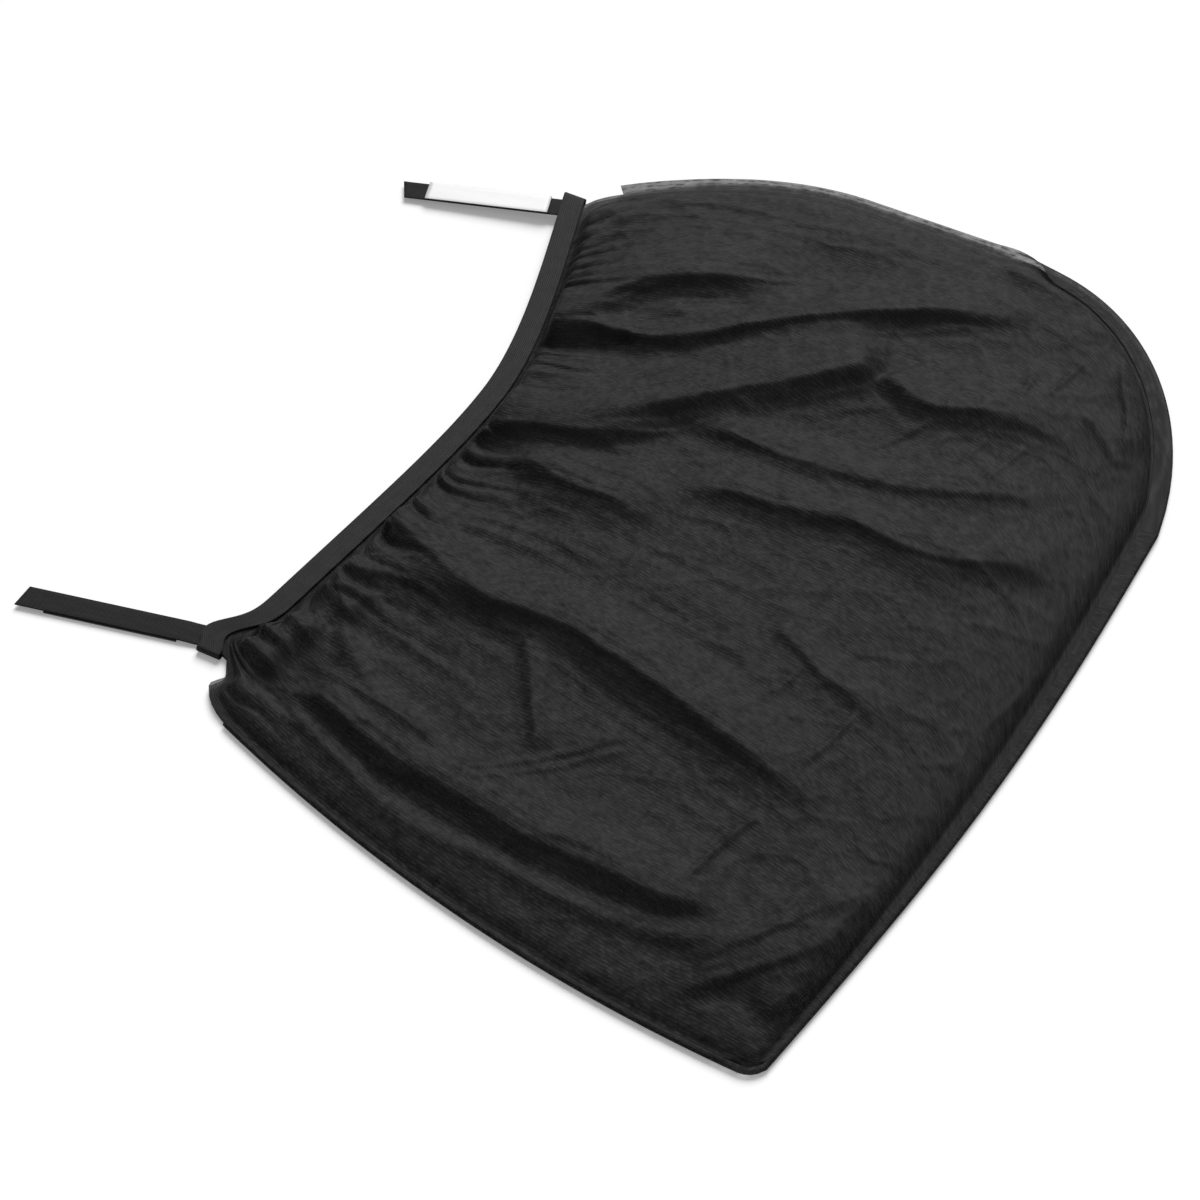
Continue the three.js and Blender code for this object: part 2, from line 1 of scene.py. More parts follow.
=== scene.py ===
import bmesh
import bpy
import numpy as np
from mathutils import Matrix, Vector


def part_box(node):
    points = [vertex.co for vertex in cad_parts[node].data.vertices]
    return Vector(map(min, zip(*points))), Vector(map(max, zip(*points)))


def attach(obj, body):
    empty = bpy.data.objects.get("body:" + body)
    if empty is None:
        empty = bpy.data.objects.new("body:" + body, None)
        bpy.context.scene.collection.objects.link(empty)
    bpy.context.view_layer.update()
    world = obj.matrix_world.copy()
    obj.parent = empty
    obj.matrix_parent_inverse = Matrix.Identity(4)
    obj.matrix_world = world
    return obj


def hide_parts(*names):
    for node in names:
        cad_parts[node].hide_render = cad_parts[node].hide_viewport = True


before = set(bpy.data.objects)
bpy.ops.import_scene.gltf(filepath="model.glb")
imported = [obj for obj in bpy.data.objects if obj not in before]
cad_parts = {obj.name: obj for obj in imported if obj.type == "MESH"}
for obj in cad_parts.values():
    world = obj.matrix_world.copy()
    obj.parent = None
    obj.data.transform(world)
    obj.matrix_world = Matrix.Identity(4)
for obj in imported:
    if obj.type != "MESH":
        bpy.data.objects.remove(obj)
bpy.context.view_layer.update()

# The view. The bag lies on a white table and is looked at from above its corner, with a long
# lens. Bearing is counted from +X, tilt down from the horizon, both in degrees.
camera_tilt = 50
camera_bearing = 27.36
camera_distance = 2.3054
camera_lens = 90
camera_aim = Vector((0.0876, 0.0183, 0))
tilt, bearing = np.radians(camera_tilt), np.radians(camera_bearing)
away = Vector((np.cos(tilt) * np.cos(bearing), np.cos(tilt) * np.sin(bearing), np.sin(tilt)))
camera_data = bpy.data.cameras.new("camera")
camera_data.lens = camera_lens
camera_data.sensor_width = 36
camera = bpy.data.objects.new("camera", camera_data)
camera.location = camera_aim + camera_distance * away
camera.rotation_euler = away.to_track_quat("Z", "Y").to_euler()
bpy.context.collection.objects.link(camera)
bpy.context.scene.camera = camera


# Back panel. The lower sheet of black knitted mesh, cut with the other one and sewn to it on
# three sides. It lies on the table, over the elastic at the mouth, and at the far edge it
# curls up and over, so that its seam shows on top. Lengths here are millimetres.
MM = 0.001
cloth_thickness = 0.5
mouth_half = 287
depth_left, depth_right = 593, 527
elastic_width, elastic_thickness, elastic_radius, elastic_lap = 20, 1.0, 2.6, 6
lap_start = elastic_width - elastic_lap
bag_half = mouth_half - 1.5 * elastic_thickness - elastic_radius
end_x = mouth_half - elastic_thickness / 2 - elastic_radius
left_side = dict(depth=depth_left, shoulder=10, flare=103, flare_depth=216, corner=(281, 205))
right_side = dict(depth=depth_right, shoulder=45, flare=101, flare_depth=509, corner=(18, 18))
far_edge_crown = 15
bow_height, bow_place, bow_round, bow_power, bow_reach = 51, -51, 136, 0.9, 170
push_height, push_place, push_width = 21, 267, 20
lift_height, lift_reach = 5, 90
droop_height, droop_from, droop_to, droop_reach = 17, 296, 313, 26
curl_radius, least_turn, curl_from, curl_to = 2.2, 0.12, 350, 420
narrow_strip, wide_strip, far_strip_least = 2.5, 13, 2
seam_gap = 0.3
cloth_across, cloth_along = 830, 580
mesh_pitch = 2.9

elastic_low, elastic_high = (np.array(corner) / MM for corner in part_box("mouth_elastic"))
to_frame = np.array([elastic_low[0] + mouth_half, elastic_high[1] - elastic_width, 0])


def mix(a, b, t):
    return a + (b - a) * t


def ramp(low, high, value):
    """0 below low, 1 above high, with a smooth step between."""
    t = np.clip((value - low) / (high - low), 0, 1)
    return t * t * (3 - 2 * t)


def mouth_line(x):
    """How far the mouth's outer edge lies from its straight line: a rounded arch, and a small
    push outwards near the right end."""
    side = np.where(x < bow_place, mouth_half + bow_place, mouth_half - bow_place)
    share = (np.hypot(x - bow_place, bow_round) - bow_round) / (np.hypot(side, bow_round) - bow_round)
    push = push_height * np.exp(-(((x - push_place) / push_width) ** 2))
    return bow_height * (1 - np.clip(share, 0, 1) ** bow_power) - push


to_frame[1] -= mouth_line(np.linspace(-end_x, end_x, 41)).max()


def corner_lift(x, y):
    """The mouth's left end stands off the table, fading with distance as a bell curve."""
    return lift_height * np.exp(-((np.hypot(x + mouth_half, y) / lift_reach) ** 2))


def side_edge(depth, side):
    """Half-width at a depth: a shoulder past the elastic, a flare, then an elliptic corner."""
    past = np.clip(depth - elastic_width - 1, 0, None)
    shoulder = side["shoulder"] * (1 - np.exp(-past / 9))
    flare = side["flare"] * (1 - (1 - np.clip(past / side["flare_depth"], 0, 1)) ** 2)
    across, along = side["corner"]
    t = np.clip((depth - side["depth"] + along) / along, 0, 1)
    return bag_half + shoulder + flare - across * (1 - np.sqrt(1 - t * t))


def plan(u, v):
    """The flat bag seen from above: u from its left side to its right, v from the mouth."""
    reach = 1 - curl_radius / depth_left
    depth_l = mix(lap_start, depth_left, v * reach)
    depth_r = mix(lap_start, depth_right, v * reach)
    x = mix(-side_edge(depth_l, left_side), side_edge(depth_r, right_side), u)
    y = mix(depth_l, depth_r, u) + far_edge_crown * np.sin(np.pi * u) * v * v
    y = y + mouth_line(x) * np.exp(-(((y - lap_start) / bow_reach) ** 2))
    past = np.maximum(0, y - elastic_width)
    droop = droop_height * ramp(droop_from, droop_to, x) * np.exp(-((past / droop_reach) ** 2))
    return x, y - droop, depth_l, depth_r


def row_places(count):
    """Rows from the mouth back: one under the elastic, one just past it, then closer rows near
    the gathers and the far corners."""
    even = np.linspace(0, 1, count)
    spaced = mix(even, (1 - np.cos(np.pi * even)) / 2, 0.35)
    clear = (elastic_lap + 2.3) / (depth_left - lap_start)
    return np.concatenate([[0, 0.6 * clear], mix(clear, 1, spaced)])


def left_turn(depth):
    """How much of a half circle the left edge curls over: hardly any at first, then all."""
    return mix(least_turn, 1, ramp(curl_from, curl_to, depth))


def left_strip(depth):
    """The width of the curled border past its bend, on the left side."""
    curled = np.clip((left_turn(depth) - 0.6) / 0.4, 0, 1)
    return mix(narrow_strip, wide_strip, curled**2)


def far_strip(u):
    """The same width on the far edge, which narrows towards the right corner."""
    return mix(far_strip_least, wide_strip, (1 - u) ** 1.8)


def back_rise(x, y):
    """The height of the back panel: over the elastic at the mouth, on the table further in."""
    over_elastic = elastic_thickness + seam_gap + 0.4
    return mix(over_elastic, cloth_thickness / 2, ramp(2, 26, y - mouth_line(x) - elastic_width))


def grid_faces(rows, columns):
    corner = (np.arange(rows - 1)[:, None] * columns + np.arange(columns - 1)).ravel()
    return np.stack([corner, corner + 1, corner + columns + 1, corner + columns], axis=1)


def new_piece(name, points, faces, uv):
    """A mesh from millimetre points in the bag's own plan, with a map in metres."""
    mesh = bpy.data.meshes.new(name)
    mesh.from_pydata(((points + to_frame) * MM).tolist(), [], faces.tolist())
    layer = mesh.uv_layers.new(name="cloth")
    corners = np.empty(len(mesh.loops), dtype=np.int32)
    mesh.loops.foreach_get("vertex_index", corners)
    layer.data.foreach_set("uv", (uv[corners] * MM).astype(np.float32).ravel())
    mesh.polygons.foreach_set("use_smooth", np.ones(len(mesh.polygons), dtype=bool))
    piece = bpy.data.objects.new(name, mesh)
    bpy.context.collection.objects.link(piece)
    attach(piece, "root")
    return piece


def back_surface():
    """The flat part as a grid, and round its three sewn sides a border that runs outwards,
    turns by its share of a half circle and goes on straight for its strip."""
    rows, columns, border_from = 96, 110, 42
    v, u = np.meshgrid(row_places(rows - 2), np.linspace(0, 1, columns), indexing="ij")
    x, y, depth_l, _ = plan(u, v)
    points = np.stack([x, y, back_rise(x, y) + corner_lift(x, y)], axis=-1).reshape(-1, 3)
    uv = np.stack([u * cloth_across, v * cloth_along], axis=-1).reshape(-1, 2)
    number = np.arange(rows * columns).reshape(rows, columns)
    rim = np.concatenate([number[:-1, 0], number[-1], number[-2::-1, -1]])
    turn = np.concatenate([left_turn(depth_l[:-1, 0]), np.ones(columns + rows - 1)])
    strip_side = np.full(rows - 1, narrow_strip)
    strip = np.concatenate([left_strip(depth_l[:-1, 0]), far_strip(u[-1]), strip_side])
    keep = points[rim, 1] > border_from
    rim, turn, strip = rim[keep], turn[keep], strip[keep]
    along = np.gradient(points[rim, :2], axis=0)
    outward = np.stack([-along[:, 1], along[:, 0]], axis=1)
    outward /= np.linalg.norm(outward, axis=1, keepdims=True)
    steps, straight = 10, 5
    out, up, heading = np.zeros(len(rim)), np.zeros(len(rim)), np.zeros(len(rim))
    faces, before = [grid_faces(rows, columns)], rim
    for step in range(steps + straight):
        turning = step < steps
        length = np.pi * curl_radius / steps if turning else strip / straight
        bend = np.pi * turn / steps if turning else 0
        out = out + length * np.cos(heading + bend / 2)
        up = up + length * np.sin(heading + bend / 2)
        heading = heading + bend
        ring = points[rim].copy()
        ring[:, :2] += outward * out[:, None]
        ring[:, 2] += up
        new = len(points) + np.arange(len(rim))
        uv = np.concatenate([uv, uv[before] + outward * np.reshape(length, (-1, 1))])
        points = np.concatenate([points, ring])
        faces.append(np.stack([before[:-1], before[1:], new[1:], new[:-1]], axis=1))
        before = new
    return points, np.concatenate(faces), uv


back_panel = new_piece("back_panel_cloth", *back_surface())
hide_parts("back_panel")


def group_of(name, inputs, outputs):
    """An empty node group with its inputs and their values, and its outputs."""
    group = bpy.data.node_groups.new(name, "ShaderNodeTree")
    for label, kind, value in inputs:
        socket = group.interface.new_socket(label, in_out="INPUT", socket_type=kind)
        if value is not None:
            socket.default_value = value
    for label, kind in outputs:
        group.interface.new_socket(label, in_out="OUTPUT", socket_type=kind)
    return group, group.nodes.new("NodeGroupInput"), group.nodes.new("NodeGroupOutput")


def math_node(tree, operation, *values):
    node = tree.nodes.new("ShaderNodeMath")
    node.operation = operation
    for socket, value in zip(node.inputs, values):
        if isinstance(value, (int, float)):
            socket.default_value = value
        else:
            tree.links.new(value, socket)
    return node.outputs[0]


def noise_node(tree, vector, scale, detail, stretch=(1, 1, 1)):
    place = tree.nodes.new("ShaderNodeMapping")
    place.inputs["Scale"].default_value = stretch
    tree.links.new(vector, place.inputs["Vector"])
    node = tree.nodes.new("ShaderNodeTexNoise")
    node.inputs["Scale"].default_value = scale
    node.inputs["Detail"].default_value = detail
    tree.links.new(place.outputs[0], node.inputs["Vector"])
    return node.outputs["Fac"]


def steep(tree, share, gain):
    """Spreads a noise, which keeps near one half, over the whole range from 0 to 1."""
    node = tree.nodes.new("ShaderNodeMapRange")
    tree.links.new(share, node.inputs["Value"])
    node.inputs["From Min"].default_value = 0.5 - 0.5 / gain
    node.inputs["From Max"].default_value = 0.5 + 0.5 / gain
    return node.outputs[0]


def knit_group():
    """Knitted ribs: a sine across the cloth, its phase shaken by stretched noise, cut along
    its length by a second noise into short flecks. Where two layers lie on each other their
    holes beat in worm-like bands: the sine of a soft noise that is many turns wide. Puts out
    the ribs' height, which the mesh's colour turns into a painted sheen on the rib crowns,
    and a mask of the closed places, drawn lighter as the mesh's own uneven pattern."""
    shaken_turns, band_radians = 1.6, 62
    inputs = [("Place", "NodeSocketVector", None), ("Pitch", "NodeSocketFloat", mesh_pitch * MM)]
    tree, given, made = group_of(
        "knit", inputs, [("Height", "NodeSocketFloat"), ("Closed", "NodeSocketFloat")]
    )
    split = tree.nodes.new("ShaderNodeSeparateXYZ")
    tree.links.new(given.outputs["Place"], split.inputs[0])
    shake = noise_node(tree, given.outputs["Place"], 60, 2, (1, 0.25, 1))
    turns = math_node(tree, "DIVIDE", split.outputs["X"], given.outputs["Pitch"])
    phase = math_node(tree, "MULTIPLY_ADD", shake, shaken_turns, turns)
    wave = math_node(tree, "SINE", math_node(tree, "MULTIPLY", phase, 2 * np.pi))
    breaks = noise_node(tree, given.outputs["Place"], 420, 2, (1, 0.35, 1))
    flecks = steep(tree, breaks, 4.5)
    height = math_node(tree, "MULTIPLY_ADD", wave, math_node(tree, "MULTIPLY", flecks, 0.35), 0.5)
    soft = noise_node(tree, given.outputs["Place"], 34, 3, (1, 0.7, 1))
    bands = math_node(tree, "SINE", math_node(tree, "MULTIPLY", soft, band_radians))
    patches = steep(tree, noise_node(tree, given.outputs["Place"], 75, 4), 3.2)
    mottle = math_node(tree, "MULTIPLY_ADD", bands, 0.13, math_node(tree, "MULTIPLY", patches, 0.42))
    closed = math_node(tree, "MULTIPLY_ADD", flecks, 0.45, mottle)
    tree.links.new(height, made.inputs["Height"])
    tree.links.new(closed, made.inputs["Closed"])
    return tree


def cloth_place(tree):
    node = tree.nodes.new("ShaderNodeUVMap")
    node.uv_map = "cloth"
    return node.outputs[0]


def new_material(name, **constants):
    """A material's tree and its Principled BSDF, with the constants on the shader's sockets."""
    material = bpy.data.materials.new(name)
    material.use_nodes = True
    shader = material.node_tree.nodes["Principled BSDF"]
    for label, value in constants.items():
        shader.inputs[label.replace("_", " ")].default_value = value
    return material, material.node_tree, shader


def colour_between(tree, share, dark, light):
    node = tree.nodes.new("ShaderNodeMix")
    node.data_type = "RGBA"
    tree.links.new(share, node.inputs["Factor"])
    node.inputs["A"].default_value = (*dark, 1)
    node.inputs["B"].default_value = (*light, 1)
    return node.outputs["Result"]


def between(tree, share, low, high):
    node = tree.nodes.new("ShaderNodeMapRange")
    tree.links.new(share, node.inputs["Value"])
    node.inputs["To Min"].default_value = low
    node.inputs["To Max"].default_value = high
    return node.outputs[0]


def bump_of(tree, shader, height, distance, strength=1.0):
    bump = tree.nodes.new("ShaderNodeBump")
    bump.inputs["Distance"].default_value = distance
    bump.inputs["Strength"].default_value = strength
    tree.links.new(height, bump.inputs["Height"])
    tree.links.new(bump.outputs[0], shader.inputs["Normal"])


knit = knit_group()


def mesh_material(name, dark, light, cover):
    """The mesh lets light through its holes. Seen at a slant, its yarns hide more of them, so
    the share let through is raised to the power 1 / cosine of the view's angle."""
    material, tree, shader = new_material(name, Roughness=0.6, Specular_IOR_Level=0.1)
    ribs = tree.nodes.new("ShaderNodeGroup")
    ribs.node_tree = knit
    tree.links.new(cloth_place(tree), ribs.inputs["Place"])
    ribs.inputs["Pitch"].default_value = mesh_pitch * MM
    # Painted sheen: the ribs' raised crowns are painted lighter, as a painted highlight on the yarns;
    # the closed flecks and the mottle add the mesh's own uneven pattern.
    raised = math_node(tree, "SUBTRACT", math_node(tree, "MULTIPLY", ribs.outputs["Height"], 0.8), 0.28)
    share = math_node(tree, "MULTIPLY_ADD", ribs.outputs["Closed"], 0.8, raised)
    tree.links.new(colour_between(tree, share, dark, light), shader.inputs["Base Color"])
    facing = tree.nodes.new("ShaderNodeLayerWeight").outputs["Facing"]
    least_cosine = 0.12
    slant = math_node(tree, "MAXIMUM", math_node(tree, "SUBTRACT", 1, facing), least_cosine)
    holes = math_node(tree, "SUBTRACT", 1, between(tree, share, *cover))
    open_share = math_node(tree, "POWER", holes, math_node(tree, "DIVIDE", 1, slant))
    tree.links.new(math_node(tree, "SUBTRACT", 1, open_share), shader.inputs["Alpha"])
    bump_of(tree, shader, share, 0.0004, 0.5)
    return material


# The lighter yarn colour is partly painted sheen on the rib crowns and partly the mesh's own mottle.
yarn_dark, yarn_light_with_sheen = (0.006, 0.006, 0.0063), (0.029, 0.029, 0.0303)
knitted_mesh = mesh_material("knitted_mesh", yarn_dark, yarn_light_with_sheen, (0.55, 0.9))
back_panel.data.materials.append(knitted_mesh)


# Front panel. The upper sheet of the same mesh, longer than the mouth that it is gathered
# into, so it lies loose in folds that run back from the elastic. Its edge laps under the
# elastic at the mouth, and under the back panel's curled border at the seam.
puff, near_side_drop = 12.5, 4.5
valley_floor, valley_softness, near_side_valley = 7.4, 1.2, 2.6
crest_ceiling, crest_softness = 30, 2.5
seam_flat, side_seam_flat, far_seam_flat, edge_reach = 7, 3.5, 4.6, 6.5
mouth_rise = 4.6
climb_width, crest_round, dip_depth, dip_width = 3.2, 0.33, 0.18, 3.4

# Folds: height of the crest, width of the steep face on its right, lengths over which the fold
# comes up and goes down again, then its route away from the mouth.
crests = [
    (18, 13, 5, 120, [(-134, 48), (-152, 82), (-188, 101), (-214, 123), (-238, 166), (-261, 209),
        (-293, 255)]),
    (3, 6, 30, 40, [(-174, 128), (-184, 150), (-207, 181), (-230, 201)]),
    (12, 9, 15, 120, [(-124, 58), (-136, 78), (-144, 110), (-150, 148), (-172, 190), (-215, 231),
        (-250, 278), (-280, 330), (-309, 392), (-331, 443)]),
    (8, 10, 12, 50, [(-75, 62), (-71, 78), (-73, 92), (-79, 112), (-88, 153)]),
    (18, 13, 8, 30, [(-26, 62), (-31, 96), (-38, 122), (-51, 145), (-68, 170), (-89, 197),
        (-113, 223), (-137, 249), (-158, 274), (-188, 306), (-202, 324), (-207, 342)]),
    (10, 12, 12, 90, [(-205, 334), (-195, 353), (-186, 374), (-187, 391), (-206, 426), (-211, 471),
        (-201, 518)]),
    (9, 7, 10, 60, [(9, 68), (-7, 93), (-19, 113), (-26, 136), (-40, 166), (-58, 194), (-77, 222)]),
    (9, 13, 25, 60, [(27, 112), (17, 125), (18, 148), (19, 175), (15, 195), (16, 217), (25, 240),
        (34, 255)]),
    (6, 8, 40, 80, [(-69, 222), (-86, 240), (-88, 291), (-89, 348), (-98, 394), (-131, 481),
        (-149, 527)]),
    (8, 10, 60, 60, [(-18, 233), (-27, 269), (-34, 330), (-42, 361), (-50, 384), (-44, 426),
        (-46, 463), (-64, 510), (-61, 554)]),
    (15, 11, 10, 140, [(118, 38), (124, 75), (132, 100), (153, 144), (158, 167), (151, 221),
        (158, 275), (166, 310), (185, 361), (198, 412), (211, 454), (219, 486)]),
    (8, 7, 8, 25, [(193, 36), (200, 63), (212, 78), (216, 100)]),
    (8.5, 9, 10, 50, [(179, 42), (175, 68), (166, 87), (164, 110), (172, 138), (176, 164)]),
    (10, 10, 30, 60, [(284, 80), (299, 125), (316, 181), (324, 246), (334, 311), (335, 362),
        (333, 414), (312, 458)]),
    (4.5, 5, 20, 20, [(168, 202), (192, 222), (217, 240), (243, 255), (266, 264)]),
    (7, 8, 40, 30, [(406, 439), (380, 464), (350, 496), (321, 525), (291, 538), (259, 554)]),
    (7, 7, 25, 25, [(396, 505), (361, 524), (329, 540), (302, 550)]),
    (5, 8, 30, 30, [(376, 435), (352, 463), (321, 486), (294, 508), (269, 532)]),
    (4, 6, 40, 40, [(59, 350), (74, 374), (101, 428), (113, 458), (134, 491)]),
    (4, 5, 20, 20, [(-328, 500), (-276, 514), (-254, 527), (-212, 537)]),
    (3, 5, 20, 20, [(-249, 490), (-230, 507), (-212, 526), (-198, 547)]),
    (3.5, 6, 20, 20, [(-368, 366), (-366, 393), (-361, 424), (-362, 453)]),
    (3.5, 6, 20, 20, [(-330, 452), (-331, 472), (-345, 498)]),
    (10, 4.5, 5, 25, [(270, 18), (279, 38), (283, 52), (285, 67)]),
    (10, 5, 5, 25, [(253, 20), (257, 36), (264, 55), (266, 69)]),
    (9, 4.5, 8, 25, [(232, 32), (244, 56), (249, 68), (248, 81)]),
]
ridges = [
    (4, 10, 20, 20, [(220, 74), (248, 107), (270, 139), (283, 166), (294, 195)]),
    (3.5, 9, 40, 60, [(300, 70), (330, 137), (350, 185), (363, 270), (364, 345), (360, 396),
        (354, 430), (336, 478)]),
    (-2.5, 9, 40, 50, [(294, 82), (314, 128), (333, 181), (343, 246), (350, 311), (350, 362),
        (347, 414), (326, 458)]),
    (3, 22, 60, 90, [(60, 150), (70, 260), (90, 340), (110, 420)]),
    (3, 24, 60, 90, [(-240, 60), (-300, 150), (-340, 230), (-360, 330)]),
    (1.7, 2.8, 20, 20, [(310, 204), (292, 236), (266, 267), (238, 297), (214, 326)]),
    (1.7, 2.8, 20, 20, [(315, 218), (296, 246), (273, 275), (245, 305), (223, 331)]),
    (2.2, 3, 15, 15, [(318, 411), (286, 418), (258, 425), (235, 434)]),
    (1.8, 3, 15, 15, [(116, 461), (140, 454), (164, 448), (189, 440)]),
    (1.7, 3, 10, 10, [(92, 404), (112, 400), (134, 394)]),
    (1.6, 2.6, 10, 10, [(-124, 353), (-148, 372), (-179, 395)]),
    (1.6, 2.6, 10, 10, [(-149, 404), (-176, 412)]),
    (1.6, 2.6, 10, 10, [(-141, 431), (-185, 439)]),
    (1.6, 2.6, 10, 10, [(-128, 455), (-158, 462), (-189, 469)]),
    (1.6, 2.6, 10, 10, [(-229, 443), (-250, 444), (-268, 445)]),
    (1.6, 2.6, 10, 10, [(-241, 460), (-266, 469), (-300, 476)]),
    (1.2, 3, 15, 15, [(101, 547), (78, 551), (48, 559), (11, 568)]),
    (1, 3, 10, 10, [(92, 505), (105, 521), (123, 526)]),
]


def soft_noise(a, b, seed):
    """Smooth noise from -1 to 1: random values on a square lattice, blended by smooth steps."""
    lattice = np.random.default_rng(seed).uniform(-1, 1, (128, 128))
    a0, b0 = np.floor(a).astype(int), np.floor(b).astype(int)
    s, t = ramp(0, 1, a - a0), ramp(0, 1, b - b0)
    near = mix(lattice[a0 % 128, b0 % 128], lattice[(a0 + 1) % 128, b0 % 128], s)
    far = mix(lattice[a0 % 128, (b0 + 1) % 128], lattice[(a0 + 1) % 128, (b0 + 1) % 128], s)
    return mix(near, far, t)


def smooth_line(route):
    """A route with its corners cut three times, so that it runs as a smooth curve."""
    line = np.array(route, dtype=float)
    for _ in range(3):
        leaving = 0.75 * line[:-1] + 0.25 * line[1:]
        coming = 0.25 * line[:-1] + 0.75 * line[1:]
        inner = np.stack([leaving, coming], axis=1)
        line = np.concatenate([line[:1], inner.reshape(-1, 2), line[-1:]])
    return line


def from_route(x, y, line):
    """Distance from a line, counted positive on its right, and the way gone along it."""
    best = np.full(x.shape, np.inf)
    signed, gone = np.zeros(x.shape), np.zeros(x.shape)
    lengths = np.linalg.norm(np.diff(line, axis=0), axis=1)
    starts = np.concatenate([[0], np.cumsum(lengths)])
    for (ax, ay), (bx, by), length, start in zip(line[:-1], line[1:], lengths, starts):
        dx, dy = (bx - ax) / length, (by - ay) / length
        along = np.clip((x - ax) * dx + (y - ay) * dy, 0, length)
        off_x, off_y = x - ax - along * dx, y - ay - along * dy
        distance = np.hypot(off_x, off_y)
        nearer = distance < best
        best = np.where(nearer, distance, best)
        on_right = off_x * dy - off_y * dx >= 0
        signed = np.where(nearer, np.where(on_right, distance, -distance), signed)
        gone = np.where(nearer, start + along, gone)
    return signed, gone, starts[-1]


def crest_section(t):
    """Left of its crest a fold climbs as a bell curve. Right of it the fold falls off steeply
    and flattens out, as exp(-t), into a shallow dip."""
    steep_face = np.exp(crest_round - np.sqrt(t * t + 0.11))
    fall = (1 + dip_depth) * steep_face - dip_depth * np.exp(-((t / dip_width) ** 2))
    return np.where(t < 0, np.exp(-((t / climb_width) ** 2)), fall)


def ridge_section(t):
    """A bell curve, the same on both sides."""
    return np.exp(-t * t)


def fold_heights(x, y):
    """All folds, each worked out only near its own route, which wavers a little, and finer
    lines that run along with it."""
    total = np.zeros(x.shape)
    wave_x = x + 3 * soft_noise(x / 46, y / 58, 11) + 1.1 * soft_noise(x / 13, y / 19, 12)
    wave_y = y + 3 * soft_noise(x / 52, y / 44, 13)
    for table, section in ((crests, crest_section), (ridges, ridge_section)):
        for height, width, fade_in, fade_out, route in table:
            line = smooth_line(route)
            low, high = line.min(axis=0) - 6 * width, line.max(axis=0) + 6 * width
            near = (x > low[0]) & (x < high[0]) & (y > low[1]) & (y < high[1])
            signed, gone, length = from_route(wave_x[near], wave_y[near], line)
            t = signed / (width * (0.75 + 0.5 * gone / length))
            fade = ramp(0, fade_in, gone) * ramp(0, fade_out, length - gone)
            lines = 1 - 2 * np.abs(soft_noise(signed / 5.5, gone / 75, 14))
            line_height = min(1.0, 0.08 * height) * np.exp(-((t / 3.5) ** 2))
            total[near] += (height * section(t) + line_height * lines) * fade
    return total


def gather_heights(past, u):
    """Gathers at the elastic: rounded tubes side by side, sin(pi t) ** 0.75 across, with sharp
    valleys between them, each dying away over its own length; and fine pinches at the seam."""
    random = np.random.default_rng(5)
    past, total = np.maximum(past, 0), np.zeros(u.shape)
    for count, low, high, near, far in ((34, 3, 8, 14, 65), (84, 0.7, 1.8, 6, 14)):
        edges = np.concatenate([[0], np.cumsum(random.uniform(0.5, 1.6, count))])
        edges /= edges[-1]
        drifted = np.clip(u + 0.014 * soft_noise(u * 11, past / 40, 31) * ramp(4, 60, past), 0, 0.99999)
        index = np.searchsorted(edges, drifted, side="right") - 1
        inside = (drifted - edges[index]) / (edges[index + 1] - edges[index])
        tall = random.uniform(low, high, count)[index]
        reach = random.uniform(near, far, count)[index]
        tube = np.sin(np.pi * np.clip(inside, 0.001, 0.999)) ** 0.75
        total += tall * tube * ramp(0, 5, past) * np.exp(-((past / reach) ** 1.3))
    return total - 1.6 * np.exp(-past / 25)


def small_wrinkles(x, y, u, past):
    """Long streaks that run back from the gathers, small uneven dents all over, and a crumple
    of sharp creases: one less twice a noise's size, to the third power."""
    bent = u * 42 + 0.5 * soft_noise(u * 5, past / 90, 41)
    streaks = 1 - 2 * np.abs(soft_noise(bent, past / 130, 42))
    dents = 0.45 * soft_noise(x / 23, y / 30, 43) + 0.1 * soft_noise(x / 7, y / 10, 44)
    creases = 1 - 2 * np.abs(soft_noise(x / 34 + y / 80, y / 46 - x / 90, 45))
    folds = 1 - 2 * np.abs(soft_noise(x / 21 - y / 60, y / 27 + x / 50, 46))
    crumple = 0.9 * np.maximum(creases, 0.2) ** 3 + 0.6 * np.maximum(folds, 0.2) ** 3
    return (0.4 + 1.7 * np.exp(-past / 110)) * streaks + dents + crumple


def upper_run_height(x):
    """The elastic's upper run stands over the lower one, apart in the middle of the mouth."""
    share = np.clip(np.abs(x) / mouth_half, 0, 1)
    return elastic_thickness / 2 + 2 * elastic_radius + mouth_rise * (1 - share**4)


def sideways(depth, side):
    """The cosine of the side edge's lean, so that a width across it is measured squarely."""
    near = np.minimum(depth, side["depth"] - 1)
    return 1 / np.hypot(1, side_edge(near + 0.5, side) - side_edge(near - 0.5, side))


